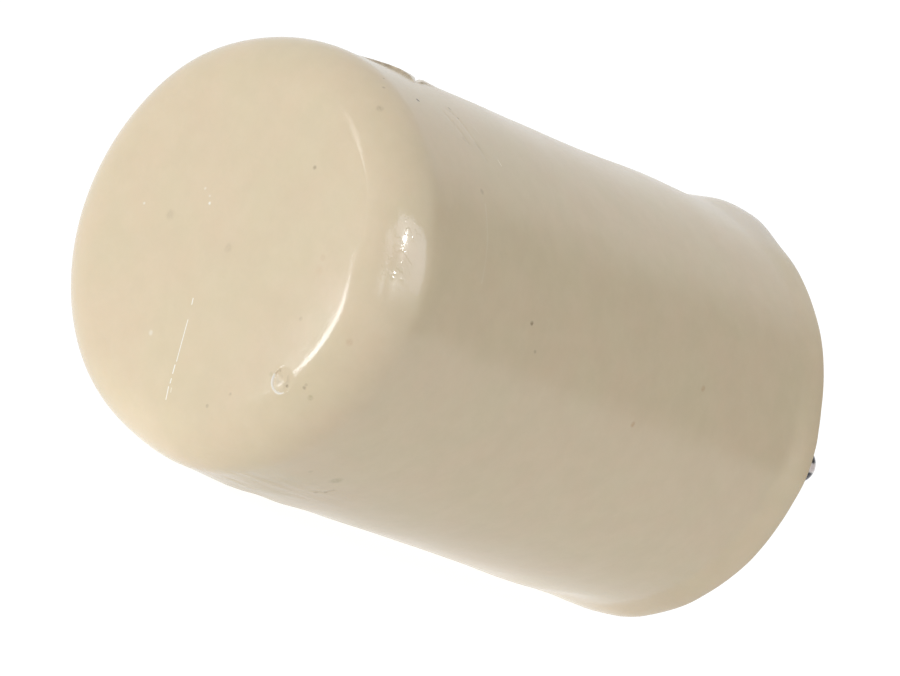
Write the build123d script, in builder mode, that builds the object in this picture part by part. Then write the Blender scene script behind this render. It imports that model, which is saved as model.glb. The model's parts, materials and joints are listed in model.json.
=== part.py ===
from build123d import *
import os

# A cast cake of rosin on a metal core pin, lying on its side.
#
# The cake's axis is horizontal and runs along +Y, from the flat rubbing face to the
# poured end, where the pin stands out. +Z is up, and Z = 0 is the surface that the
# cake lies on. X = 0, Y = 0 is the middle of the whole length, pin included.

os.makedirs("parts", exist_ok=True)

# ---- Driving dimensions, in millimetres ----

# The cake
CAKE_RADIUS = 16.0          # at the rubbing face, before its rim is rounded
CAKE_LENGTH = 52.6
FACE_RIM_RADIUS = 3.85      # the broad round between the rubbing face and the side
WAIST_RADIUS = 15.9         # just before the lip, where the casting is thinnest
LIP_RADIUS = 16.1           # the lip that the mould's mouth left at the poured end
LIP_LENGTH = 2.0            # from the start of its flare to the poured end
LIP_BAND = 0.9              # the part of the lip that is straight
LIP_EDGE_RADIUS = 0.4
LIP_BLEND_RADIUS = 2.0      # hollow between the side and the flare
POURED_RIM_WIDTH = 1.4      # flat ring round the sunken poured face
POURED_FACE_SINK = 0.4      # how far that face shrank in at the middle
REST_FLAT_DEPTH = 0.12      # narrow flat along the underside, where the cake's weight
                            # has pressed it out of round

# The core pin
PIN_RADIUS = 1.5
PIN_EXPOSED = 21.7          # from the poured rim to the tip
PIN_BURIED = 20.0           # from the poured rim to the shoulder that holds the washer
TENON_RADIUS = 1.0
RIVET_RADIUS = 1.6
RIVET_HEIGHT = 0.6

# Ring grooves in the buried part of the pin
GROOVE_COUNT = 4
GROOVE_PITCH = 4.0
GROOVE_WIDTH = 1.2
GROOVE_DEPTH = 0.3
FIRST_GROOVE_SINK = 0.1     # from the poured face down to the edge of the first groove

# The anchor washer
WASHER_RADIUS = 4.5
WASHER_THICKNESS = 1.0

# ---- Places worked out from them ----

AXIS_HEIGHT = CAKE_RADIUS - REST_FLAT_DEPTH
FRONT_Y = -(CAKE_LENGTH + PIN_EXPOSED) / 2

SHOULDER = CAKE_LENGTH - PIN_BURIED             # stations along the axis, measured
RIVET_BASE = SHOULDER - WASHER_THICKNESS        # from the rubbing face
PIN_TIP = CAKE_LENGTH + PIN_EXPOSED
FIRST_GROOVE = CAKE_LENGTH - POURED_FACE_SINK - FIRST_GROOVE_SINK - GROOVE_WIDTH / 2

# Profiles are drawn along the axis (local X) and outwards from it (local Y), and
# turned round the axis.
PROFILE_PLANE = Plane(origin=(0, FRONT_Y, AXIS_HEIGHT), x_dir=(0, 1, 0), z_dir=(1, 0, 0))
CAKE_AXIS = Axis((0, FRONT_Y, AXIS_HEIGHT), (0, 1, 0))


# ---- Core pin: domed tip, ring grooves, and a tenon riveted over the washer ----

with BuildPart() as core_pin:
    with BuildSketch(PROFILE_PLANE):
        with BuildLine():
            Polyline(
                (PIN_TIP - PIN_RADIUS, PIN_RADIUS),
                (SHOULDER, PIN_RADIUS),
                (SHOULDER, TENON_RADIUS),
                (RIVET_BASE, TENON_RADIUS),
                (RIVET_BASE, RIVET_RADIUS),
                (RIVET_BASE - RIVET_HEIGHT, RIVET_RADIUS),
                (RIVET_BASE - RIVET_HEIGHT, 0),
                (PIN_TIP, 0),
            )
            CenterArc(
                center=(PIN_TIP - PIN_RADIUS, 0),
                radius=PIN_RADIUS,
                start_angle=0,
                arc_size=90,
            )
        make_face()
        with Locations((FIRST_GROOVE, PIN_RADIUS)):
            with GridLocations(GROOVE_PITCH, 0, GROOVE_COUNT, 1, align=(Align.MAX, Align.CENTER)):
                Rectangle(GROOVE_WIDTH, 2 * GROOVE_DEPTH, mode=Mode.SUBTRACT)
    revolve(axis=CAKE_AXIS)
    rivet_rim = core_pin.edges().filter_by(GeomType.CIRCLE).sort_by(Axis.Y)[0]
    fillet(rivet_rim, RIVET_HEIGHT * 0.8)

core_pin.part.label = "core_pin"
export_step(core_pin.part, "parts/core_pin.step")


# ---- Anchor washer: sits on the tenon, between the shoulder and the rivet head ----

with BuildPart() as anchor_washer:
    with BuildSketch(PROFILE_PLANE):
        with BuildLine():
            Polyline(
                (RIVET_BASE, TENON_RADIUS),
                (SHOULDER, TENON_RADIUS),
                (SHOULDER, WASHER_RADIUS),
                (RIVET_BASE, WASHER_RADIUS),
                close=True,
            )
        make_face()
    revolve(axis=CAKE_AXIS)

anchor_washer.part.label = "anchor_washer"
export_step(anchor_washer.part, "parts/anchor_washer.step")


# ---- Rosin cake: cast round the pin and the washer ----

dish_span = LIP_RADIUS - POURED_RIM_WIDTH
dish_radius = (dish_span**2 + POURED_FACE_SINK**2) / (2 * POURED_FACE_SINK)

with BuildPart() as rosin_cake:
    with BuildSketch(PROFILE_PLANE):
        with BuildLine():
            Polyline(
                (CAKE_LENGTH - POURED_FACE_SINK, 0),
                (0, 0),
                (0, CAKE_RADIUS),
                (CAKE_LENGTH - LIP_LENGTH, WAIST_RADIUS),
                (CAKE_LENGTH - LIP_BAND, LIP_RADIUS),
                (CAKE_LENGTH, LIP_RADIUS),
                (CAKE_LENGTH, dish_span),
            )
            RadiusArc((CAKE_LENGTH, dish_span), (CAKE_LENGTH - POURED_FACE_SINK, 0), -dish_radius)
        make_face()
    revolve(axis=CAKE_AXIS)

    circles = rosin_cake.edges().filter_by(GeomType.CIRCLE).sort_by(Axis.Y)
    face_rim, flare_start, flare_end = circles[0], circles[1], circles[2]
    lip_edge = circles.group_by(Axis.Y)[-1].sort_by(SortBy.RADIUS)[-1]
    fillet(face_rim, FACE_RIM_RADIUS)
    fillet(flare_start, LIP_BLEND_RADIUS)
    fillet([flare_end, lip_edge], LIP_EDGE_RADIUS)
    split(bisect_by=Plane.XY, keep=Keep.TOP)

    add(core_pin.part, mode=Mode.SUBTRACT)
    add(anchor_washer.part, mode=Mode.SUBTRACT)

rosin_cake.part.label = "rosin_cake"
export_step(rosin_cake.part, "parts/rosin_cake.step")
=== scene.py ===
import json
import math

import bmesh
import bpy
import numpy as np
from mathutils import Matrix, Vector, noise


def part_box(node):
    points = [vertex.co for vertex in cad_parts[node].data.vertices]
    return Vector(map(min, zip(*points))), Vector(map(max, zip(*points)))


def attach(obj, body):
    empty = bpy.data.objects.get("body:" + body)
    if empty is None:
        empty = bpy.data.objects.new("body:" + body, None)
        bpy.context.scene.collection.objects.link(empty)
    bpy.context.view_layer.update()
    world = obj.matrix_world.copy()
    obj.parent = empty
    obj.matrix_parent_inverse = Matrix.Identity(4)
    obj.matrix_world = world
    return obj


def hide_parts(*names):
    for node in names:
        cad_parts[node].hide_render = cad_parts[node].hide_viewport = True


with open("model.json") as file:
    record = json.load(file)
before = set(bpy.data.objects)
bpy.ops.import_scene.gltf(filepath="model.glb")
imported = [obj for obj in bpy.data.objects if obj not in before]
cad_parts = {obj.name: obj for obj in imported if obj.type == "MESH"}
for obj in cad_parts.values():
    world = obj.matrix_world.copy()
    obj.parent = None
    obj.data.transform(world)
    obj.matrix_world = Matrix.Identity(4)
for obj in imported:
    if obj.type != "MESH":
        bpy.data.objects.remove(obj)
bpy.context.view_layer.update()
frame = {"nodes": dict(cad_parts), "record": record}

# A cast cake of rosin on a metal core pin, lying on its side on a pale surface.
#
# The cake is built in its own millimetres: X across, Z up, both measured from its
# axis, and a station along the axis, measured from the rubbing face. An angle round
# the axis is in degrees, 0 at the side (+X) and 90 on top. place() turns these into
# metres in the frame.

MM = 0.001

# ---- The frame's sizes, in millimetres ----

CAKE_LOW, CAKE_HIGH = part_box("rosin_cake")
PIN_LOW, PIN_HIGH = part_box("core_pin")
MOUNTS = {mount["name"]: mount for mount in frame["record"]["mounts"]}

FACE_Y = CAKE_LOW.y
AXIS_Z = (PIN_LOW.z + PIN_HIGH.z) / 2
LENGTH = (CAKE_HIGH.y - CAKE_LOW.y) / MM
LIP_RADIUS = (CAKE_HIGH.x - CAKE_LOW.x) / 2 / MM
PIN_RADIUS = MOUNTS["core_pin"]["dims"]["r_mm"]

# ---- The cake's own proportions, in millimetres ----

BODY_RADIUS = LIP_RADIUS - 0.1      # at the rubbing face
WAIST_RADIUS = LIP_RADIUS - 0.2     # at the poured end, under the lip
FACE_RIM_RADIUS = 3.85              # rounding between the rubbing face and the side
FACE_FLAT = BODY_RADIUS - FACE_RIM_RADIUS
LIP_LENGTH = 3.0
LIP_EDGE_RADIUS = 0.10
POURED_FACE_SINK = 0.4
DRAWN_UP = 0.35                     # how high the rosin is drawn up the pin
DRAWN_UP_REACH = 0.45
BORE_DEPTH = 1.0                    # the pin fills the rest of its bore
BORE_OVERLAP = 0.01                 # the bore's wall is this far inside the pin

# ---- How finely the cake is meshed, in millimetres ----

SEGMENTS = 240
FIRST_RING = 0.15
FACE_STEP = 0.4
FACE_FINE_FROM = 10.2               # the face's outer part has finer rings
FINE_STEP = 0.22
SIDE_STEP = 0.42
EDGE_TURN = 0.5                     # radians, round the lip's edge
POURED_STEP = 0.6
POURED_FINE_FROM = 4.0              # the poured face has finer rings near the pin
NEAR_PIN_STEP = 0.2
BORE_STEP = 0.5


def place():
    """The matrix that turns cake millimetres into frame metres."""
    return Matrix.Translation((0, FACE_Y, AXIS_Z)) @ Matrix.Scale(MM, 4)


# ---- Mesh tools ----

def spread(start, end, step):
    """Evenly spaced values after start, up to and with end."""
    count = max(1, round(abs(end - start) / step))
    return [start + (end - start) * k / count for k in range(1, count + 1)]


def side_radius(station):
    """The side tapers a little from the rubbing face to its waist."""
    along = (station - FACE_RIM_RADIUS) / (LENGTH - FACE_RIM_RADIUS)
    return BODY_RADIUS + (WAIST_RADIUS - BODY_RADIUS) * along


def poured_face(radius):
    """Station of the sunken poured face, with the rosin drawn up the pin and the wall."""
    sink = POURED_FACE_SINK * (1 - (radius / WAIST_RADIUS) ** 2)
    up_the_pin = DRAWN_UP * math.exp(-(radius - PIN_RADIUS) / DRAWN_UP_REACH)
    return LENGTH - sink + up_the_pin


def cake_profile():
    """(station, radius) of each ring, from the rubbing face's centre to the bore."""
    rings = [(0.0, r) for r in spread(FIRST_RING, FACE_FINE_FROM, FACE_STEP)]
    rings += [(0.0, r) for r in spread(FACE_FINE_FROM, FACE_FLAT, FINE_STEP)]
    for turn in spread(0, math.pi / 2, FINE_STEP / FACE_RIM_RADIUS):
        station = FACE_RIM_RADIUS * (1 - math.cos(turn))
        rings.append((station, FACE_FLAT + FACE_RIM_RADIUS * math.sin(turn)))
    side_end = LENGTH - LIP_EDGE_RADIUS
    stations = spread(FACE_RIM_RADIUS, LENGTH - LIP_LENGTH, SIDE_STEP)
    stations += spread(LENGTH - LIP_LENGTH, side_end, FINE_STEP)
    rings += [(s, side_radius(s)) for s in stations]
    edge_radius = side_radius(side_end) - LIP_EDGE_RADIUS
    for turn in spread(0, math.pi / 2, EDGE_TURN):
        station = side_end + LIP_EDGE_RADIUS * math.sin(turn)
        rings.append((station, edge_radius + LIP_EDGE_RADIUS * math.cos(turn)))
    inward = spread(edge_radius, POURED_FINE_FROM, POURED_STEP)
    inward += spread(POURED_FINE_FROM, PIN_RADIUS, NEAR_PIN_STEP)
    rings += [(poured_face(r), r) for r in inward]
    bore_radius = PIN_RADIUS - BORE_OVERLAP
    rings += [(LENGTH - s, bore_radius) for s in spread(0, BORE_DEPTH, BORE_STEP)]
    return rings


def lathe(name, rings, segments):
    """A closed mesh turned round the axis, with a point at each end of it."""
    turns = np.arange(segments) * 2 * math.pi / segments
    circle = list(zip(np.cos(turns), np.sin(turns)))
    verts = [(0.0, rings[0][0], 0.0)]
    for station, radius in rings:
        verts += [(radius * c, station, radius * s) for c, s in circle]
    verts.append((0.0, rings[-1][0], 0.0))
    faces = []
    for k in range(segments):
        n = (k + 1) % segments
        faces.append((0, 1 + k, 1 + n))
        for ring in range(len(rings) - 1):
            a, b = 1 + ring * segments, 1 + (ring + 1) * segments
            faces.append((a + k, b + k, b + n, a + n))
        last = 1 + (len(rings) - 1) * segments
        faces.append((last + k, len(verts) - 1, last + n))
    mesh = bpy.data.meshes.new(name)
    mesh.from_pydata(verts, [], faces)
    mesh.update()
    return mesh


def refine(mesh, zones):
    """Cuts the faces within each zone, (centre, reach), into smaller ones."""
    bm = bmesh.new()
    bm.from_mesh(mesh)
    spots = [(Vector(centre), reach) for centre, reach in zones]
    near = set()
    for v in bm.verts:
        if any((v.co - centre).length < reach for centre, reach in spots):
            near.update(v.link_faces)
    edges = {e for f in near for e in f.edges}
    bmesh.ops.subdivide_edges(bm, edges=list(edges), cuts=2, use_grid_fill=True)
    bm.to_mesh(mesh)
    bm.free()


def read(mesh, source, what, width):
    """A property of every vertex as an array, with width numbers to a row."""
    values = np.zeros(len(mesh.vertices) * width)
    source.foreach_get(what, values)
    return values.reshape(-1, width)


def on_side(angle, station):
    """A point on the cake's side."""
    a = math.radians(angle)
    r = side_radius(station)
    return np.array((r * math.cos(a), station, r * math.sin(a)))


def on_rim(angle, turn):
    """A point on the round of the rim. turn is 0 at the face and 90 at the side."""
    a, t = math.radians(angle), math.radians(turn)
    r = FACE_FLAT + FACE_RIM_RADIUS * math.sin(t)
    return np.array((r * math.cos(a), FACE_RIM_RADIUS * (1 - math.cos(t)), r * math.sin(a)))


def on_face(x, z):
    """A point on the rubbing face."""
    return np.array((x, 0.0, z))


SEED_STEP = (17.3, 5.1, 9.7)    # how far apart in the noise two seeds look


def ripple(points, size, seed):
    """Smooth noise between about -1 and 1, whose swells are about size apart."""
    shift = Vector([seed * step for step in SEED_STEP])
    scaled = points / size
    return np.array([noise.noise(Vector(p) + shift) for p in scaled])


def bell(values, centre, width):
    """1 at centre, falling smoothly to 0 over about width."""
    return np.exp(-(((values - centre) / width) ** 2))


def swell(points, centre, size):
    """1 at the point centre, falling smoothly to 0 over about size."""
    return bell(np.linalg.norm(points - centre, axis=1), 0, size)


def smooth(low, high, values):
    """0 at low, 1 at high and smooth between. low may be the larger of the two."""
    t = np.clip((values - low) / (high - low), 0, 1)
    return t * t * (3 - 2 * t)


def angle_gap(angles, angle):
    """Degrees between, the short way round."""
    return np.abs((angles - angle + 180) % 360 - 180)


def along_path(points, path):
    """How far each point is from the path's line, and how far along it lies, 0 to 1."""
    best = np.full(len(points), np.inf)
    where = np.zeros(len(points))
    for k in range(len(path) - 1):
        a, b = path[k], path[k + 1]
        t = np.clip((points - a) @ (b - a) / ((b - a) @ (b - a)), 0, 1)
        gap = np.linalg.norm(points - (a + t[:, None] * (b - a)), axis=1)
        nearer = gap < best
        best[nearer] = gap[nearer]
        where[nearer] = ((k + t) / (len(path) - 1))[nearer]
    return best, where


# ---- The cake's shape ----

# Waviness of the skin: size, height on the rubbing face, further height off it, seed
RIPPLES = [
    (13, 0.0, 0.06, 1),
    (5, 0.004, 0.022, 2),
    (1.7, 0.001, 0.003, 3),
]
OFF_FACE = (0.0, 4.0)           # stations between which the further height comes in
CLEAR_OF_PIN = 1.5              # how far from the pin the relief reaches its full height

# Height of the lip round the poured end, by angle
LIP_HEIGHTS = [
    (-130, 0.15), (-95, 0.06), (-80, 0.08), (-72, 0.22), (-65, 0.38), (-58, 0.46),
    (-40, 0.57), (-15, 0.55), (-2, 0.50), (3.5, 0.58), (9, 0.56), (14.5, 0.47),
    (18, 0.34), (24, 0.22), (35, 0.17), (60, 0.16), (72.5, 0.22), (78.5, 0.28),
    (96, 0.30), (104, 0.25), (125, 0.2), (200, 0.20),
]
LIP_FULL = 0.3                  # the lip has its full height this far from the end
LIP_WALL_FROM = 10              # radius on the poured face from which the lip has a hold
LIP_WOBBLE = 0.18
LIP_WOBBLE_SIZE = 2.5

# On top the lip rises sooner and its edge is rounder
LIP_TOP_ANGLE = 92
LIP_TOP_SPREAD = 22
LIP_TOP_START = 2.0
LIP_TOP_END = 1.0
LIP_TOP_ROUND = 0.5

# Soft lumps and hollows: where, size and height
LUMPS = [
    (on_rim(140, 50), 5.5, 0.22),
    (on_rim(264, 50), 4.5, -0.27),
    (on_side(-72, 8.0), 3.0, 0.12),
    (on_side(96, 41.0), 4.5, 0.12),
    (on_side(-84, 43.0), 4.0, 0.10),
    (on_side(94, 51.2), 2.3, 0.36),
    (on_side(85.5, 52.0), 1.9, 0.28),
    (on_side(-70.5, 47.6), 2.0, -0.20),
    (on_side(-80, 9.5), 2.2, 0.16),
    (on_side(-82, 21.0), 7.0, 0.07),
    (on_side(-79.5, 14.3), 2.6, 0.18),
]

# The round of the rubbing face starts a little further in on one side
RIM_TUCK = 0.45
RIM_TUCK_ANGLE = 17
RIM_TUCK_SPREAD = 13
RIM_TUCK_RADII = (7, 11)        # it comes in between these radii
RIM_TUCK_STATIONS = (4.5, 1.5)  # and between these stations

# A shallow flake is gone from the edge of the rubbing face
CHIP_CENTRE = np.array((10.45, 0.0, -6.25))
CHIP_RADIUS = 0.92
CHIP_DEPTH = 0.09
CHIP_WALL_SIDE = np.array((-0.62, 0.0, -0.78))      # its steep side, to the lower left
CHIP_PALE_SIDE = np.array((-0.50, 0.0, -0.87))     # where that side's edge is pale: clean rosin with a painted highlight
CHIP_STEEP = (-0.5, 0.35)       # how squarely a spot faces the steep side to belong to it
CHIP_WALL = 0.11                # width of the steep wall
CHIP_SLOPE = (0.2, 0.1)         # the other side: from outside the edge to near the centre
CHIP_MIDDLE = 0.05              # no direction is told nearer to the centre than this
CHIP_BURR_HEIGHT = 0.03         # a burr stands just outside the steep wall
CHIP_BURR_OUT = 0.05
CHIP_BURR_WIDTH = 0.07
CHIP_FLOOR_ROUGH = 0.004
CHIP_FLOOR = (1.5, 0.6)         # the roughness comes in between these distances
CHIP_PALE = (0.2, 0.45)        # how squarely a spot faces the pale side to be pale
CHIP_PALE_IN = 0.02
CHIP_PALE_WIDTH = 0.06
CHIP_DIRT = 0.25
CHIP_DIRT_REACH = (0.9, 0.2)
CHIP_DIRT_PATCHES = (-0.1, 0.4)

# A flake of skin stands up on top, near the rubbing face, and ends at a slit. "across" is
# measured along the skin, square to the slit: negative over the flake, positive over the
# torn flap beyond it.
SLIT = [on_side(85.5, 9.06), on_side(95.75, 12.5), on_side(105, 15.6)]
SLIT_DEPTH = 0.27
SLIT_WIDTH = 0.075
# How much darker the slit is inside
SLIT_DARKENING = 0.4
ACROSS_SLIT = np.array((0.769, 0.639, 0.0))
TORN_ACROSS = [-4.6, -3.4, -2.2, -1.3, -0.5, -0.06, 0.06, 0.5, 0.9, 1.6]
TORN_ANGLES = [96.5, 96.0, 95.0, 92.0, 88.0, 84.6, 84.6, 87.5, 89.5, 90.0]
TORN_HEIGHTS = [0.0, 0.15, 0.24, 0.25, 0.17, 0.05, 0.01, 0.12, 0.08, 0.0]
TORN_SLANT = 0.75               # the edge runs slantwise, so it is nearer than its angle says
TORN_RAGGED = 0.05
TORN_RISE = (-0.02, 0.20)       # the torn wall rises between these distances inside its edge
TORN_FAR_SIDE = (112, 104)      # the flake fades out between these angles
TORN_END = 20                   # and there is none past this station
# The torn wall is painted brown as shade: the flake's own shadow along its torn edge
TORN_SHADE = 0.62                # painted shade on the wall; next, how far inside the edge it is
TORN_SHADE_IN = 0.12
TORN_SHADE_WIDTH = 0.17
TORN_SHADE_FULL = 0.2            # a wall of this height or more is darkest
TORN_SHADE_PATCHES = (-0.9, 0.1)

# Rubbed layers low down on the near end
LAYERS_CENTRE = on_side(-67, 9.0)
LAYERS_SIZE = 3.6
LAYERS_STATION = 8.0
LAYERS_REACH = 5.5
LAYERS_DRAWN = (1, 0.16, 1)     # the layers are drawn out along the cake
LAYERS_HEIGHT = 0.04
LAYERS_CRISP = 3
LAYERS_DIRT = 0.08
LAYERS_DIRT_PATCHES = (0.1, 0.8)

# Fine cracks in the skin
CRACK_WIDTH = 0.10
CRACK_DEPTH = 0.035
CRACK_ENDS = 0.15               # part of a crack's length over which each end fades
CRACK_DIRT = 0.30
CRACK_DIRT_PATCHES = (-0.3, 0.4)
CRACKS = [
    [on_side(75.5, 9.6), on_side(71.5, 10.5), on_side(65.5, 10.8), on_side(56, 11.6)],
    [on_side(73, 8.6), on_side(66, 9.4), on_side(60, 10.0)],
    [on_side(-56.5, 10.2), on_side(-54, 11.2), on_side(-50, 11.4)],
    [on_side(93, 50.8), on_side(90, 51.6), on_side(88, 52.4)],
]


def row(count, angle, turn, station, ahead, reach):
    """A row of zones on the side, each turn and ahead of the one before it."""
    return [(on_side(angle + turn * k, station + ahead * k), reach) for k in range(count)]


# Where the mesh is made finer, and finer again, as (centre, reach): the chip, the torn edge
# of the flake, its slit, the rubbed layers and the cracks
FINE_ZONES = [
    (CHIP_CENTRE, 1.7),
    *row(7, angle=98, turn=-1.6, station=4.5, ahead=1.2, reach=1.6),
    *row(10, angle=84.3, turn=2.57, station=8.66, ahead=0.853, reach=0.9),
    *row(5, angle=-70, turn=4, station=2.5, ahead=2.6, reach=2.2),
    (on_side(74, 9.8), 1.1), (on_side(70, 10.6), 1.1),
    (on_side(64, 10.7), 1.1), (on_side(58, 11.2), 1.1),
]
FINEST_ZONES = [
    (CHIP_CENTRE, 1.35),
    *row(21, angle=84.3, turn=1.16, station=8.66, ahead=0.384, reach=0.36),
]


def lip_height(angles):
    """The lip's height at each angle, from LIP_HEIGHTS."""
    known = [a for a, _ in LIP_HEIGHTS]
    heights = [h for _, h in LIP_HEIGHTS]
    turned = (angles - known[0]) % 360 + known[0]
    return np.interp(turned, known + [known[0] + 360], heights + [heights[0]])


def chip_relief(points):
    """The chip's lift (downwards), where its edge is pale with clean rosin and a painted
    highlight, and where dirt has lodged.
    """
    offset = points - CHIP_CENTRE
    ragged = 1 + 0.10 * ripple(points, size=0.9, seed=6)
    away = np.linalg.norm(offset, axis=1) * ragged
    apart = np.maximum(away, CHIP_MIDDLE)
    steep = smooth(*CHIP_STEEP, (offset @ CHIP_WALL_SIDE) / apart)
    hollow = steep * smooth(CHIP_RADIUS, CHIP_RADIUS - CHIP_WALL, away)
    hollow += (1 - steep) * smooth(CHIP_RADIUS + CHIP_SLOPE[0], CHIP_SLOPE[1], away)
    lift = -CHIP_DEPTH * hollow
    lift += CHIP_BURR_HEIGHT * steep * bell(away, CHIP_RADIUS + CHIP_BURR_OUT, CHIP_BURR_WIDTH)
    lift += CHIP_FLOOR_ROUGH * ripple(points, size=0.6, seed=7) * smooth(*CHIP_FLOOR, away)
    # The pale arc on the chip's edge: clean rosin, and a painted highlight
    fresh = smooth(*CHIP_PALE, (offset @ CHIP_PALE_SIDE) / apart)
    fresh *= bell(away, CHIP_RADIUS - CHIP_PALE_IN, CHIP_PALE_WIDTH)
    patches = smooth(*CHIP_DIRT_PATCHES, ripple(points, size=0.4, seed=8))
    dirt = CHIP_DIRT * smooth(*CHIP_DIRT_REACH, away) * patches
    return lift, fresh, dirt


def flake_relief(points, angles):
    """The lift of the raised flake, its slit and the flap, with painted shade along the torn
    wall and darkening inside the slit.
    """
    across = (points - SLIT[1]) @ ACROSS_SLIT
    edge = np.interp(across, TORN_ACROSS, TORN_ANGLES)
    inside = np.radians(angles - edge) * BODY_RADIUS * TORN_SLANT
    inside += TORN_RAGGED * ripple(points, size=0.8, seed=9)
    height = np.interp(across, TORN_ACROSS, TORN_HEIGHTS, 0, 0)
    height *= smooth(*TORN_FAR_SIDE, angles) * (points[:, 1] < TORN_END)
    lift = height * smooth(*TORN_RISE, inside)
    # Painted shade on the torn wall, darkest where the wall is tallest
    wall = bell(inside, TORN_SHADE_IN, TORN_SHADE_WIDTH) * np.clip(height / TORN_SHADE_FULL, 0, 1)
    gap, along = along_path(points, SLIT)
    slit = bell(gap, 0, SLIT_WIDTH) * 4 * along * (1 - along)
    lift -= SLIT_DEPTH * slit
    patches = smooth(*TORN_SHADE_PATCHES, ripple(points, size=0.6, seed=10))
    dirt = TORN_SHADE * wall * patches + SLIT_DARKENING * slit
    return lift, dirt


def layers_relief(points):
    """The lift and dirt of thin layers, rubbed back in steps that run along the cake."""
    zone = bell(points[:, 1], LAYERS_STATION, LAYERS_REACH)
    zone *= swell(points * (1, 0, 1), LAYERS_CENTRE * (1, 0, 1), LAYERS_SIZE)
    drawn = points * LAYERS_DRAWN
    steps = ripple(drawn, size=0.8, seed=11) + 0.5 * ripple(drawn, size=0.35, seed=12)
    lift = LAYERS_HEIGHT * zone * np.tanh(LAYERS_CRISP * steps)
    dirt = LAYERS_DIRT * zone * smooth(*LAYERS_DIRT_PATCHES, -steps)
    return lift, dirt


def skin_relief(points, angles):
    """How far every point is lifted off the smooth skin, its pale chip edge (clean rosin and a
    painted highlight), and its dirt and painted shade.
    """
    off_face = smooth(*OFF_FACE, points[:, 1])
    lift = np.zeros(len(points))
    for size, height_on_face, height_off_face, seed in RIPPLES:
        lift += (height_on_face + height_off_face * off_face) * ripple(points, size, seed)
    for centre, size, height in LUMPS:
        lift += height * swell(points, centre, size)
    chip_lift, fresh, chip_dirt = chip_relief(points)
    flake_lift, flake_darkening = flake_relief(points, angles)
    layer_lift, layer_dirt = layers_relief(points)
    lift += chip_lift + flake_lift + layer_lift
    # Dirt, together with the painted shade on the flake's torn wall
    dirt = chip_dirt + flake_darkening + layer_dirt
    for path in CRACKS:
        gap, along = along_path(points, path)
        ends = smooth(0, CRACK_ENDS, along) * smooth(1, 1 - CRACK_ENDS, along)
        line = bell(gap, 0, CRACK_WIDTH) * ends
        lift -= CRACK_DEPTH * line
        patches = smooth(*CRACK_DIRT_PATCHES, ripple(points, size=0.7, seed=13))
        dirt += CRACK_DIRT * line * patches
    return lift, fresh, dirt


def rim_tuck(angles, radii, stations):
    """How far the round of the rubbing face is drawn in."""
    tuck = RIM_TUCK * bell(angle_gap(angles, RIM_TUCK_ANGLE), 0, RIM_TUCK_SPREAD)
    return tuck * smooth(*RIM_TUCK_RADII, radii) * smooth(*RIM_TUCK_STATIONS, stations)


def lip_relief(points, angles, radii, stations):
    """How far the lip stands out from the side, and how far its edge on top falls back."""
    on_top = bell(angle_gap(angles, LIP_TOP_ANGLE), 0, LIP_TOP_SPREAD)
    start = LENGTH - LIP_LENGTH - LIP_TOP_START * on_top
    end = LENGTH - LIP_FULL - LIP_TOP_END * on_top
    near_wall = smooth(LIP_WALL_FROM, WAIST_RADIUS, radii)
    flare = smooth(start, end, stations) * near_wall
    wobble = 1 + LIP_WOBBLE * ripple(points, LIP_WOBBLE_SIZE, seed=4)
    rounding = LIP_TOP_ROUND * on_top
    short = np.clip(rounding - (LENGTH - stations), 0, rounding)
    fall = rounding - np.sqrt(rounding**2 - short**2)
    return flare * lip_height(angles) * wobble, fall * near_wall


def store(mesh, name, kind, what, values):
    """Keeps one value for each vertex in the mesh, for the materials."""
    attribute = mesh.attributes.new(name, kind, "POINT")
    attribute.data.foreach_set(what, values.ravel().astype(np.float32))


def shape_cake(mesh):
    """Moves the lathe's smooth surface to the cast one, worn by handling, and marks its dirt,
    its painted shade and its pale chip edge.
    """
    points = read(mesh, mesh.vertices, "co", 3)
    normals = read(mesh, mesh.vertex_normals, "vector", 3)
    radii = np.hypot(points[:, 0], points[:, 2])
    angles = np.degrees(np.arctan2(points[:, 2], points[:, 0]))
    stations = points[:, 1]

    lift, fresh, dirt = skin_relief(points, angles)
    outside = smooth(PIN_RADIUS, PIN_RADIUS + CLEAR_OF_PIN, radii)
    moved = points + normals * (lift * outside)[:, None]
    not_zero = np.maximum(radii, 0.1)
    out = points * (1, 0, 1) / not_zero[:, None]
    moved -= out * rim_tuck(angles, radii, stations)[:, None]
    rise, fall = lip_relief(points, angles, radii, stations)
    moved += out * rise[:, None]
    moved -= out * fall[:, None]
    table = -AXIS_Z / MM
    moved[:, 2] = np.maximum(moved[:, 2], table)

    mesh.vertices.foreach_set("co", moved.ravel())
    store(mesh, "rest", "FLOAT_VECTOR", "vector", points * MM + (0, FACE_Y, AXIS_Z))
    # The dark mark holds real dirt and also the painted shade on the flake's torn wall
    store(mesh, "dirt", "FLOAT", "value", np.clip(dirt, 0, 1))
    # The pale chip edge, partly a painted highlight
    store(mesh, "fresh", "FLOAT", "value", np.clip(fresh, 0, 1))
    mesh.update()


def make_cake():
    """The visible cake, which stands in for the CAD one."""
    mesh = lathe("cast_cake", cake_profile(), SEGMENTS)
    refine(mesh, FINE_ZONES)
    refine(mesh, FINEST_ZONES)
    shape_cake(mesh)
    mesh.transform(place())
    mesh.shade_smooth()
    cake = bpy.data.objects.new("cast_cake", mesh)
    bpy.context.scene.collection.objects.link(cake)
    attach(cake, "root")
    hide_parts("rosin_cake")
    return cake


# ---- Materials ----

# The mix node's sockets share their names, so its colour sockets go by number
MIX_COLOUR_A, MIX_COLOUR_B, MIX_COLOUR_RESULT = 6, 7, 2

# Nearly all of a noise's values lie between these
NOISE_LOW, NOISE_HIGH = 0.3, 0.7

# Soft edges: where they start and where they are full, as parts of a radius or a width
SPOT_EDGE = (1.3, 0.3)
STROKE_EDGE = (0.62, 0.25)


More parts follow.
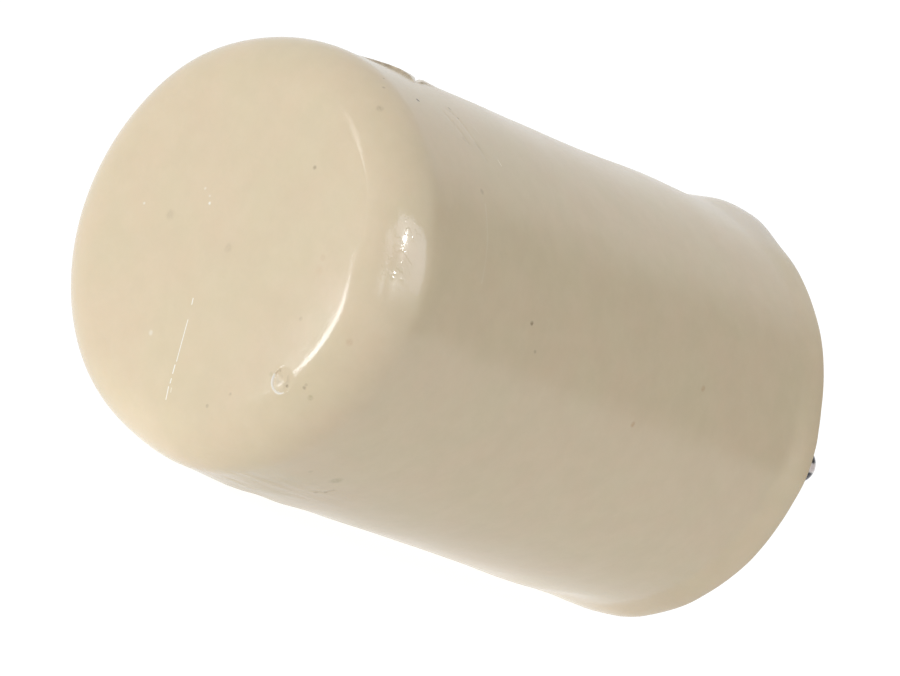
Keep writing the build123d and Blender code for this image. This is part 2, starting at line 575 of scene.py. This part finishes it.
class Nodes:
    """Short names for adding nodes to a material or a world."""

    def __init__(self, tree):
        self.tree = tree
        tree.nodes.clear()

    def add(self, kind, **settings):
        node = self.tree.nodes.new(kind)
        for name, value in settings.items():
            setattr(node, name, value)
        return node

    def put(self, socket, value):
        if isinstance(value, bpy.types.NodeSocket):
            self.tree.links.new(value, socket)
        else:
            socket.default_value = value

    def math(self, operation, a, b=0.0, clamp=False):
        node = self.add("ShaderNodeMath", operation=operation, use_clamp=clamp)
        self.put(node.inputs[0], a)
        self.put(node.inputs[1], b)
        return node.outputs[0]

    def vector(self, operation, a, b, output="Vector"):
        node = self.add("ShaderNodeVectorMath", operation=operation)
        self.put(node.inputs[0], a)
        self.put(node.inputs[1], b)
        return node.outputs[output]

    def along(self, where, axis):
        """How far a point lies along an axis."""
        return self.vector("DOT_PRODUCT", where, axis, "Value")

    def noise(self, where, size, detail, roughness=0.5, output="Fac"):
        """Noise whose swells are about size apart, in millimetres."""
        node = self.add("ShaderNodeTexNoise")
        self.put(node.inputs["Vector"], where)
        node.inputs["Scale"].default_value = 1 / (size * MM)
        node.inputs["Detail"].default_value = detail
        node.inputs["Roughness"].default_value = roughness
        return node.outputs[output]

    def ramp(self, value, low, high, to_low=0.0, to_high=1.0):
        """A smooth step from to_low at low to to_high at high."""
        node = self.add("ShaderNodeMapRange", interpolation_type="SMOOTHSTEP")
        self.put(node.inputs["Value"], value)
        ends = {"From Min": low, "From Max": high, "To Min": to_low, "To Max": to_high}
        for name, number in ends.items():
            node.inputs[name].default_value = number
        return node.outputs["Result"]

    def mix(self, factor, a, b):
        """Colour a where factor is 0 and colour b where it is 1."""
        node = self.add("ShaderNodeMix", data_type="RGBA")
        self.put(node.inputs["Factor"], factor)
        self.put(node.inputs[MIX_COLOUR_A], a)
        self.put(node.inputs[MIX_COLOUR_B], b)
        return node.outputs[MIX_COLOUR_RESULT]

    def mark(self, name, output="Fac"):
        """A value kept for each vertex by store()."""
        return self.add("ShaderNodeAttribute", attribute_name=name).outputs[output]

    def bump(self, height, strength, distance, before=None):
        """A normal bent by height, on top of the bumps before it. distance is in metres."""
        node = self.add("ShaderNodeBump")
        node.inputs["Strength"].default_value = strength
        node.inputs["Distance"].default_value = distance
        self.put(node.inputs["Height"], height)
        if before is not None:
            self.put(node.inputs["Normal"], before)
        return node.outputs["Normal"]

    def finish(self, kind, shader):
        """Joins the shader to the output of a material or a world."""
        self.put(self.add(kind).inputs["Surface"], shader.outputs[0])

    def spot(self, where, centre, radius):
        """1 inside a small round spot, 0 outside it, with a soft edge."""
        away = self.vector("DISTANCE", where, tuple(centre), "Value")
        return self.ramp(away, radius * SPOT_EDGE[0], radius * SPOT_EDGE[1])

    def stroke(self, where, start, end, width):
        """1 along a straight line, 0 away from it."""
        length = (end - start).length
        heading = (end - start) / length
        offset = self.vector("SUBTRACT", where, tuple(start))
        along = self.along(offset, tuple(heading))
        along = self.math("MINIMUM", self.math("MAXIMUM", along, 0.0), length)
        scale = self.add("ShaderNodeVectorMath", operation="SCALE")
        scale.inputs[0].default_value = tuple(heading)
        self.put(scale.inputs["Scale"], along)
        gap = self.vector("DISTANCE", offset, scale.outputs["Vector"], "Value")
        return self.ramp(gap, width * STROKE_EDGE[0], width * STROKE_EDGE[1])


def new_material(name):
    """An empty material, with its nodes."""
    material = bpy.data.materials.new(name)
    material.use_nodes = True
    return material, Nodes(material.node_tree)


# The rosin's own tones
CREAM = (0.745, 0.62, 0.435, 1)
ROSY = (0.76, 0.605, 0.425, 1)
GREENISH = (0.72, 0.62, 0.42, 1)
LIGHT = (0.78, 0.66, 0.475, 1)
CLOUDY = (0.66, 0.555, 0.38, 1)

# Mottling, in the order it is laid on: the noise's size in millimetres, its detail and
# roughness, where it starts to show and is at its fullest, how strong it is and its tone
MOTTLING = [
    (1.4, 3, 0.5, 0.30, 0.75, 0.35, LIGHT),
    (0.3, 2, 0.5, 0.25, 0.75, 0.22, GREENISH),
    (2.4, 4, 0.6, 0.38, 0.68, 0.20, CLOUDY),
]
BROAD_MOTTLING_SIZE = 4.5
CREAM_SHARE = 0.45

# Dirt and painted shade, painted sheen, and pale rosin with a painted highlight
DARK = (0.085, 0.065, 0.045, 1)
BROWN = (0.27, 0.20, 0.125, 1)
ORANGE = (0.52, 0.27, 0.11, 1)
# A pale grey-white painted sheen, for the top of the lip
PAINTED_SHEEN = (0.86, 0.84, 0.81, 1)
PALE = (0.97, 0.95, 0.89, 1)
OLIVE = (0.42, 0.36, 0.20, 1)

# Specks: where, radius in millimetres, colour and how strong it is
SPECKS = [
    (on_side(72, 5.85), 0.17, DARK, 1.0),
    (on_rim(77.5, 80), 0.10, BROWN, 0.5),
    (on_rim(66.5, 48), 0.30, BROWN, 0.24),
    (on_rim(73.5, 68), 0.14, BROWN, 0.30),
    (on_side(75, 10.4), 0.20, DARK, 0.35),
    (on_side(71.5, 10.6), 0.12, DARK, 0.30),
    (on_side(62.5, 9.55), 0.26, BROWN, 0.16),
    (on_side(46.5, 9.55), 0.24, BROWN, 0.25),
    (on_side(17, 16.15), 0.18, BROWN, 0.65),
    (on_side(10.5, 17.45), 0.16, BROWN, 0.25),
    (on_side(2, 31.3), 0.26, ORANGE, 0.35),
    (on_side(17.5, 37.8), 0.26, ORANGE, 0.30),
    (on_side(-46.5, 9.85), 0.55, OLIVE, 0.35),
    (on_side(-46.5, 6.85), 0.22, OLIVE, 0.22),
    (on_side(-56, 10.95), 0.22, BROWN, 0.40),
    (on_side(-54, 11.4), 0.16, BROWN, 0.35),
    (on_side(85, 52.2), 0.34, BROWN, 0.45),
    # The two broad pale patches on top of the lip are painted sheen, where it catches the white
    # room
    (on_side(93, 51.2), 6.0, PAINTED_SHEEN, 0.30),
    (on_side(82, 51.8), 3.5, PAINTED_SHEEN, 0.20),
    (on_rim(-6, 29), 0.30, ORANGE, 0.18),
    (on_face(11.04, -6.38), 0.16, BROWN, 0.60),
    (on_face(9.87, -5.70), 0.10, BROWN, 0.35),
    (on_rim(-25.5, 23), 0.15, BROWN, 0.45),
    (on_rim(-24.5, 22), 0.12, BROWN, 0.30),
    (on_rim(-26, 35), 0.22, OLIVE, 0.35),
    (on_face(9.29, -6.26), 0.20, OLIVE, 0.25),
    (on_face(5.4, -10.6), 0.16, BROWN, 0.28),
    (on_face(6.8, -9.0), 0.14, BROWN, 0.22),
    (on_face(-5.8, -0.3), 0.42, BROWN, 0.13),
    (on_face(0.45, -0.2), 0.38, BROWN, 0.12),
    (on_face(4.2, 7.9), 0.18, BROWN, 0.40),
    (on_face(8.9, 2.8), 0.30, ORANGE, 0.12),
    (on_face(9.1, 1.9), 0.42, ORANGE, 0.08),
    (on_face(9.4, -1.8), 0.18, BROWN, 0.18),
    (on_face(-3.0, 1.85), 0.13, PALE, 0.75),
    (on_face(-3.3, 2.3), 0.10, PALE, 0.35),
    (on_face(-8.5, -0.6), 0.12, PALE, 0.5),
    (on_face(-4.0, 2.6), 0.12, PALE, 0.4),
    (on_face(-2.4, -8.3), 0.22, PALE, 0.35),
]

# Fine scratches: from, to, width in millimetres and how strong it is
SCRATCHES = [
    (on_face(-0.32, -4.59), on_face(-0.18, -5.0), 0.10, 0.8),
    (on_face(0.16, -6.10), on_face(0.95, -9.05), 0.085, 0.8),
    (on_face(0.98, -9.35), on_face(1.13, -9.94), 0.10, 0.95),
    (on_face(1.24, -10.32), on_face(1.32, -10.62), 0.10, 0.9),
    (on_face(1.34, -10.92), on_face(1.64, -11.78), 0.10, 0.8),
    (on_face(1.63, -10.88), on_face(1.75, -11.16), 0.08, 0.5),
    (on_side(43, 9.7), on_side(33, 9.7), 0.20, 0.10),
    (on_side(33, 9.7), on_side(22, 9.5), 0.20, 0.08),
    (on_side(70, 12.2), on_side(58, 13.3), 0.14, 0.16),
]


# Specks have ragged edges and are broken up by a fine grain
RAGGED_SIZE = 0.4
RAGGED_SHIFT = 0.00012
GRAIN_SIZE = 0.16
GRAIN_START, GRAIN_FULL = 0.30, 0.60
GRAIN_LEAST = 0.5
GRAINY_BOOST = 1.2

# Roughness: smears of handling over all, a duller side, and more on scratches, on the chip's
# pale edge, and on dirt and painted shade.
# The paleness of the chip's edge (clean rosin and a painted highlight) is given beside a strong
# scratch's.
SMEAR_SIZE = 6.0
SMEAR_LOW, SMEAR_HIGH = 0.10, 0.17
SIDE_DULLNESS = 0.07
SIDE_DULL_FROM, SIDE_DULL_TO = 3, 9     # millimetres behind the rubbing face
CHIP_EDGE_PALENESS = 0.9
PALE_MARK_DULLNESS = 0.5
DIRT_AND_SHADE_DULLNESS = 0.45

# Small dents that break up the bright patch on the rim: where and how wide. Depths are in
# metres, as the bump node takes them.
DENTED = [(on_rim(28, 48), 1.5), (on_rim(20, 48), 1.6)]
DENT_SIZE = 0.6
DENT_START, DENT_FULL = 0.50, 0.60
DENT_DEPTH = 0.000009
SKIN_GRAIN_SIZE = 0.5
SKIN_GRAIN_DEPTH = 0.000012


def rosin_colour(n, where):
    """The cream, with its mottling."""
    broad = n.ramp(n.noise(where, BROAD_MOTTLING_SIZE, 2), NOISE_LOW, NOISE_HIGH)
    colour = n.mix(1 - CREAM_SHARE, CREAM, n.mix(broad, GREENISH, ROSY))
    for size, detail, roughness, start, full, strength, tone in MOTTLING:
        mottled = n.ramp(n.noise(where, size, detail, roughness), start, full, 0.0, strength)
        colour = n.mix(mottled, colour, tone)
    return colour


def add_specks(n, where, colour):
    """The specks, laid over the colour."""
    stray = n.noise(where, RAGGED_SIZE, 2, output="Color")
    shifted = n.vector("SUBTRACT", stray, (0.5, 0.5, 0.5))
    ragged = n.vector("ADD", where, n.vector("MULTIPLY", shifted, (RAGGED_SHIFT,) * 3))
    grain = n.ramp(n.noise(where, GRAIN_SIZE, 2), GRAIN_START, GRAIN_FULL, GRAIN_LEAST, 1.0)
    for centre, radius, tone, strength in SPECKS:
        spot = n.spot(ragged, place() @ Vector(centre), radius * MM)
        # Pale specks and the painted sheen have no grain
        if tone in (PALE, PAINTED_SHEEN):
            spot = n.math("MULTIPLY", spot, strength)
        else:
            grainy = n.math("MULTIPLY", spot, grain)
            spot = n.math("MULTIPLY", grainy, strength * GRAINY_BOOST, clamp=True)
        colour = n.mix(spot, colour, tone)
    return colour


def pale_wear_and_highlight(n, where):
    """How pale the rosin is, from the scratches and from the chip's edge, whose paleness is
    clean rosin and a painted highlight.
    """
    wear_and_highlight = 0.0
    for start, end, width, strength in SCRATCHES:
        line = n.stroke(where, place() @ Vector(start), place() @ Vector(end), width * MM)
        wear_and_highlight = n.math("MAXIMUM", wear_and_highlight, n.math("MULTIPLY", line, strength))
    return n.math("MAXIMUM", wear_and_highlight, n.math("MULTIPLY", n.mark("fresh"), CHIP_EDGE_PALENESS))


def rosin_roughness(n, where, wear_and_highlight, dirt_and_shade_mask):
    """Polish that varies with handling, and is lost on scratches, on the chip's pale edge, and
    on dirt and painted shade.
    """
    smears = n.ramp(n.noise(where, SMEAR_SIZE, 4, 0.6), NOISE_LOW, NOISE_HIGH,
                    SMEAR_LOW, SMEAR_HIGH)
    at = n.add("ShaderNodeSeparateXYZ")
    n.put(at.inputs[0], where)
    side = n.ramp(at.outputs["Y"], FACE_Y + SIDE_DULL_FROM * MM, FACE_Y + SIDE_DULL_TO * MM,
                  0.0, SIDE_DULLNESS)
    dulled = n.math("MAXIMUM", n.math("MULTIPLY", wear_and_highlight, PALE_MARK_DULLNESS),
                    n.math("MULTIPLY", dirt_and_shade_mask, DIRT_AND_SHADE_DULLNESS))
    return n.math("ADD", n.math("ADD", smears, side), dulled, clamp=True)


def rosin_bumps(n, where):
    """A fine grain all over, and small dents under the bright patch on the rim."""
    grain = n.noise(where, SKIN_GRAIN_SIZE, 3, 0.6)
    grain = n.bump(grain, strength=0.5, distance=SKIN_GRAIN_DEPTH)
    first, second = (n.spot(where, place() @ Vector(at), wide * MM) for at, wide in DENTED)
    dents = n.ramp(n.noise(where, DENT_SIZE, 2), DENT_START, DENT_FULL)
    dented = n.math("MULTIPLY", n.math("MAXIMUM", first, second), dents)
    return n.bump(dented, strength=1.0, distance=DENT_DEPTH, before=grain)


def rosin_material():
    """Cast rosin: opaque cream, waxy, polished by handling."""
    material, n = new_material("rosin")
    where = n.mark("rest", "Vector")
    wear_and_highlight = pale_wear_and_highlight(n, where)
    dirt_and_shade_mask = n.mark("dirt")
    colour = add_specks(n, where, rosin_colour(n, where))
    # Pale scratches, and the chip's pale edge, which is clean rosin and a painted highlight
    colour = n.mix(wear_and_highlight, colour, PALE)
    # Brown for dirt, and for the painted shade along the flake's torn wall
    colour = n.mix(dirt_and_shade_mask, colour, BROWN)

    shader = n.add("ShaderNodeBsdfPrincipled")
    n.put(shader.inputs["Base Color"], colour)
    n.put(shader.inputs["Roughness"], rosin_roughness(n, where, wear_and_highlight, dirt_and_shade_mask))
    n.put(shader.inputs["Normal"], rosin_bumps(n, where))
    shader.inputs["IOR"].default_value = 1.52
    shader.inputs["Subsurface Weight"].default_value = 0.10
    shader.inputs["Subsurface Radius"].default_value = (1.0, 0.75, 0.45)
    shader.inputs["Subsurface Scale"].default_value = 0.0008
    n.finish("ShaderNodeOutputMaterial", shader)
    return material


# Painted reflection: a dark band colour and a pale pinkish highlight for the pin's end
PAINTED_DARK_REFLECTION = (0.07, 0.07, 0.08, 1)
PAINTED_HIGHLIGHT_TONE = (0.82, 0.73, 0.70, 1)
STAIN_SIZE = 1.5
STAIN_START, STAIN_FULL = 0.45, 0.75
STAIN_BRIGHTNESS = 0.72         # of a stained spot, beside clean steel
STAIN_STRENGTH = 0.5
DRAWN_LINE_SIZE = 0.2
DRAWN_LINE_DEPTH = 0.00003      # metres

# The pin's end has a painted reflection: dark bands for the dark room it mirrors, with a pale
# pinkish streak of painted highlight between them. In millimetres: how far short of its tip it
# starts and is complete, and the same for how far to +X of the axis. Then the height of the
# streak above the axis, how far from that the streak reaches, and where the dark bands start.
REFLECTION_ALONG = (9, 3)
REFLECTION_SIDE = (0.1, 0.9)
STREAK_HEIGHT = 0.33
STREAK_HIGHLIGHT = (0.2, 0.45)
STREAK_DARK = (0.25, 0.5)


def in_mm(pair):
    return [value * MM for value in pair]


def steel_material(name, colour, rough_low, rough_high, drawn, painted_reflection=0.0):
    """Bare or plated steel. drawn is how far its fine lines are stretched along the pin.

    The last argument paints a reflection on the +X side of the pin's end: dark bands, and a
    pale pinkish streak of painted highlight between them.
    """
    material, n = new_material(name)
    where = n.add("ShaderNodeTexCoord").outputs["Object"]
    stretch = n.add("ShaderNodeMapping")
    stretch.inputs["Scale"].default_value = (1, 1 / drawn, 1)
    n.put(stretch.inputs["Vector"], where)
    lines = n.noise(stretch.outputs["Vector"], DRAWN_LINE_SIZE, 3, 0.6)
    stains = n.ramp(n.noise(where, STAIN_SIZE, 4, 0.65), STAIN_START, STAIN_FULL)
    dull = tuple(c * STAIN_BRIGHTNESS for c in colour[:3]) + (1,)

    # The painted reflection on the pin's end: where it lies, then its dark bands and its pale
    # streak
    side = n.ramp(n.along(where, (1, 0, 0)), *in_mm(REFLECTION_SIDE), 0, painted_reflection)
    start, complete = (PIN_HIGH.y - short for short in in_mm(REFLECTION_ALONG))
    side = n.math("MULTIPLY", side, n.ramp(n.along(where, (0, 1, 0)), start, complete))
    height = n.math("SUBTRACT", n.along(where, (0, 0, 1)), AXIS_Z + STREAK_HEIGHT * MM)
    off_streak = n.math("ABSOLUTE", height)
    dark_reflection = n.math("MULTIPLY", side, n.ramp(off_streak, *in_mm(STREAK_DARK)))
    highlight_streak = n.math("MULTIPLY", side, n.ramp(off_streak, *in_mm(STREAK_HIGHLIGHT), 1, 0))

    shader = n.add("ShaderNodeBsdfPrincipled")
    metal = n.mix(n.math("MULTIPLY", stains, STAIN_STRENGTH), colour, dull)
    metal = n.mix(dark_reflection, metal, PAINTED_DARK_REFLECTION)
    n.put(shader.inputs["Base Color"], n.mix(highlight_streak, metal, PAINTED_HIGHLIGHT_TONE))
    n.put(shader.inputs["Roughness"], n.ramp(lines, NOISE_LOW, NOISE_HIGH,
                                              rough_low, rough_high))
    n.put(shader.inputs["Metallic"], n.math("SUBTRACT", 1.0, highlight_streak))
    n.put(shader.inputs["Normal"], n.bump(lines, strength=0.15, distance=DRAWN_LINE_DEPTH))
    n.finish("ShaderNodeOutputMaterial", shader)
    return material


def dress(obj, material):
    """Gives a piece its only material."""
    obj.data.materials.clear()
    obj.data.materials.append(material)


# ---- Stage: floor, lights, surroundings and camera ----

TARGET = Vector((0, FACE_Y + LENGTH * MM / 2, AXIS_Z))
FLOOR_RADIUS = 6.0

# How the table glows: to the left of the cake, to its right, what is added in front of the
# rubbing face, and how bright it looks to the camera itself
TABLE_GLOW_LEFT = 0.95
TABLE_GLOW_RIGHT = 0.66
TABLE_GLOW_FRONT = 0.20
TABLE_GLOW_SEEN = 0.88
SIDEWAYS = (1, -0.1, 0)                 # the glow changes in this direction,
GLOW_LEFT_END, GLOW_RIGHT_START = 1, 12         # between these distances in millimetres
FRONT_PATCH = Vector((6 * MM, FACE_Y - 6 * MM, 0))
FRONT_PATCH_FULL, FRONT_PATCH_END = 4, 17       # millimetres from the patch's centre
TABLE_PAINT_UNSEEN = 0.08
TABLE_PAINT_SEEN = 0.30


def grey(level):
    return (level, level, level, 1)


def make_floor():
    """A pale table that glows a little. What the camera sees of it is almost white."""
    bpy.ops.mesh.primitive_circle_add(vertices=96, radius=FLOOR_RADIUS, fill_type="NGON")
    floor = bpy.context.object
    floor.name = "floor"
    material, n = new_material("pale_floor")
    seen = n.add("ShaderNodeLightPath").outputs["Is Camera Ray"]
    paint = n.add("ShaderNodeBsdfDiffuse")
    n.put(paint.inputs["Color"], n.mix(seen, grey(TABLE_PAINT_UNSEEN), grey(TABLE_PAINT_SEEN)))
    ground = n.add("ShaderNodeTexCoord").outputs["Object"]
    strength = n.ramp(n.along(ground, SIDEWAYS), GLOW_LEFT_END * MM, GLOW_RIGHT_START * MM,
                      TABLE_GLOW_LEFT, TABLE_GLOW_RIGHT)
    from_patch = n.vector("DISTANCE", ground, tuple(FRONT_PATCH), "Value")
    in_front = n.ramp(from_patch, FRONT_PATCH_FULL * MM, FRONT_PATCH_END * MM,
                      TABLE_GLOW_FRONT, 0)
    strength = n.math("ADD", strength, in_front)
    unseen = n.math("SUBTRACT", 1.0, seen)
    strength = n.math("ADD", n.math("MULTIPLY", strength, unseen),
                      n.math("MULTIPLY", TABLE_GLOW_SEEN, seen))
    glow = n.add("ShaderNodeEmission")
    n.put(glow.inputs["Strength"], strength)
    both = n.add("ShaderNodeAddShader")
    n.put(both.inputs[0], paint.outputs[0])
    n.put(both.inputs[1], glow.outputs[0])
    n.finish("ShaderNodeOutputMaterial", both)
    dress(floor, material)


def direction(azimuth, elevation):
    """Unit vector from the cake. Azimuth is measured from -Y towards +X, as the camera's is."""
    a, e = math.radians(azimuth), math.radians(elevation)
    return Vector((math.sin(a) * math.cos(e), -math.cos(a) * math.cos(e), math.sin(e)))


def lamp(name, place_at, aim, width, height, brightness, mirrored=True, lights=True,
         tint=(1, 1, 1)):
    """A rectangular lamp. It shows in polish if mirrored, and shades surfaces if it lights."""
    data = bpy.data.lights.new(name, "AREA")
    data.shape = "RECTANGLE"
    data.size, data.size_y = width, height
    data.energy = brightness * math.pi * width * height
    data.color = tint
    obj = bpy.data.objects.new(name, data)
    obj.location = place_at
    obj.rotation_mode = "QUATERNION"
    obj.rotation_quaternion = (place_at - aim).to_track_quat("Z", "Y")
    obj.visible_camera = False
    obj.visible_glossy = mirrored
    obj.visible_diffuse = lights
    bpy.context.scene.collection.objects.link(obj)


SOFTBOX_DISTANCE = 1.5
WINDOW_TINT = (0.82, 0.84, 1.0)
LOW_STRIP_TINT = (0.90, 0.93, 1.0)


def softbox(name, azimuth, elevation, wide, tall, brightness, **more):
    """A far lamp, sized by the degrees that it fills as the cake sees it."""
    width = 2 * SOFTBOX_DISTANCE * math.tan(math.radians(wide / 2))
    height = 2 * SOFTBOX_DISTANCE * math.tan(math.radians(tall / 2))
    at = TARGET + direction(azimuth, elevation) * SOFTBOX_DISTANCE
    lamp(name, at, TARGET, width, height, brightness, **more)


def make_lights():
    """One lamp that shades the cake, and others that only show in its polish."""
    softbox("key", -10, 7, wide=30, tall=13, brightness=3.5, mirrored=False)

    # A window, seen as the haze along the side
    softbox("window", 68, 30.5, wide=54, tall=18, brightness=2.8, lights=False,
            tint=WINDOW_TINT)
    softbox("window_sill", 30, 18, wide=18, tall=5, brightness=2.8, lights=False,
            tint=WINDOW_TINT)

    # The bright patch on the rim
    softbox("window_sun", 60, 27, wide=3.5, tall=3, brightness=150.0, lights=False)

    # The lower and the upper arc, and a spark, on the round of the rubbing face
    rim = Vector((12, FACE_Y / MM, 14)) * MM
    low_strip_at = Vector((-28.4, -98.4, 6.3)) * MM
    lamp("low_strip", low_strip_at, rim, width=0.0118, height=0.0126, brightness=12.0,
         lights=False, tint=LOW_STRIP_TINT)
    softbox("tall_strip", -29, 12.5, wide=2.6, tall=13, brightness=4.2, lights=False)
    softbox("spark", -26, 0.5, wide=3, tall=5, brightness=1.8, lights=False)


ROOM = (0.90, 0.905, 0.915, 1)
OVERHEAD = (0.68, 0.685, 0.695, 1)
OVERHEAD_REACH = 75             # degrees from straight up at which it has faded out
DARK_LEVEL = 0.02

# Darker parts of the room: azimuth, elevation, degrees from that direction within which it
# is at its darkest and beyond which it ends, and how dark it is
DARK_PARTS = [
    (75, 50, 10, 80, 0.07),
    (145, 17, 19, 31, 0.52),
    (145, 17, 18, 42, 0.82),
]


def make_surroundings():
    """A white room with one dark side, which the cake's flank mirrors."""
    world = bpy.data.worlds.new("room")
    bpy.context.scene.world = world
    world.use_nodes = True
    n = Nodes(world.node_tree)
    toward = n.add("ShaderNodeTexCoord").outputs["Generated"]

    def facing(azimuth, elevation, near, far):
        """1 within near degrees of a direction, 0 beyond far."""
        dot = n.along(toward, tuple(direction(azimuth, elevation)))
        return n.ramp(dot, math.cos(math.radians(far)), math.cos(math.radians(near)))

    colour = n.mix(facing(0, 90, 0, OVERHEAD_REACH), ROOM, OVERHEAD)
    for azimuth, elevation, near, far, darkness in DARK_PARTS:
        shade = n.math("MULTIPLY", facing(azimuth, elevation, near, far), darkness)
        colour = n.mix(shade, colour, grey(DARK_LEVEL))
    backdrop = n.add("ShaderNodeBackground")
    n.put(backdrop.inputs["Color"], colour)
    seen = n.add("ShaderNodeBackground")
    n.put(seen.inputs["Color"], grey(1))
    which = n.add("ShaderNodeMixShader")
    n.put(which.inputs[0], n.add("ShaderNodeLightPath").outputs["Is Camera Ray"])
    n.put(which.inputs[1], backdrop.outputs[0])
    n.put(which.inputs[2], seen.outputs[0])
    n.finish("ShaderNodeOutputWorld", which)


CAMERA_AZIMUTH, CAMERA_ELEVATION, CAMERA_ROLL = 38.784, 5.0, 27.249
CAMERA_DISTANCE = 0.6606                # metres
CAMERA_AIM = (0.67, 0.49, -0.48)        # millimetres from the middle of the cake
LENS, SENSOR = 360, 36


def make_camera():
    """A long lens, a little above the table, tilted so that the cake runs down to the right."""
    right, back_along, up = CAMERA_AIM
    middle = FACE_Y / MM + LENGTH / 2
    aim = Vector((right, middle + back_along, AXIS_Z / MM + up)) * MM
    data = bpy.data.cameras.new("camera")
    data.lens = LENS
    data.sensor_width = SENSOR
    data.clip_start, data.clip_end = 0.05, 50
    camera = bpy.data.objects.new("camera", data)
    back = direction(CAMERA_AZIMUTH, CAMERA_ELEVATION)
    camera.location = aim + back * CAMERA_DISTANCE
    camera.rotation_mode = "QUATERNION"
    level = (-back).to_track_quat("-Z", "Y").to_matrix()
    tilt = Matrix.Rotation(math.radians(CAMERA_ROLL), 3, "Z")
    camera.rotation_quaternion = (level @ tilt).to_quaternion()
    bpy.context.scene.collection.objects.link(camera)
    bpy.context.scene.camera = camera


PLATED_STEEL = (0.78, 0.75, 0.72, 1)
WASHER_STEEL = (0.55, 0.54, 0.53, 1)


def main():
    bpy.context.scene.view_settings.view_transform = "Standard"
    make_camera()
    dress(make_cake(), rosin_material())
    # The pin's end carries a painted reflection
    dress(frame["nodes"]["core_pin"],
          steel_material("plated_steel", PLATED_STEEL, rough_low=0.10, rough_high=0.22,
                         drawn=12, painted_reflection=1.0))
    dress(frame["nodes"]["anchor_washer"],
          steel_material("washer_steel", WASHER_STEEL, rough_low=0.3, rough_high=0.45, drawn=1))
    make_floor()
    make_surroundings()
    make_lights()


main()
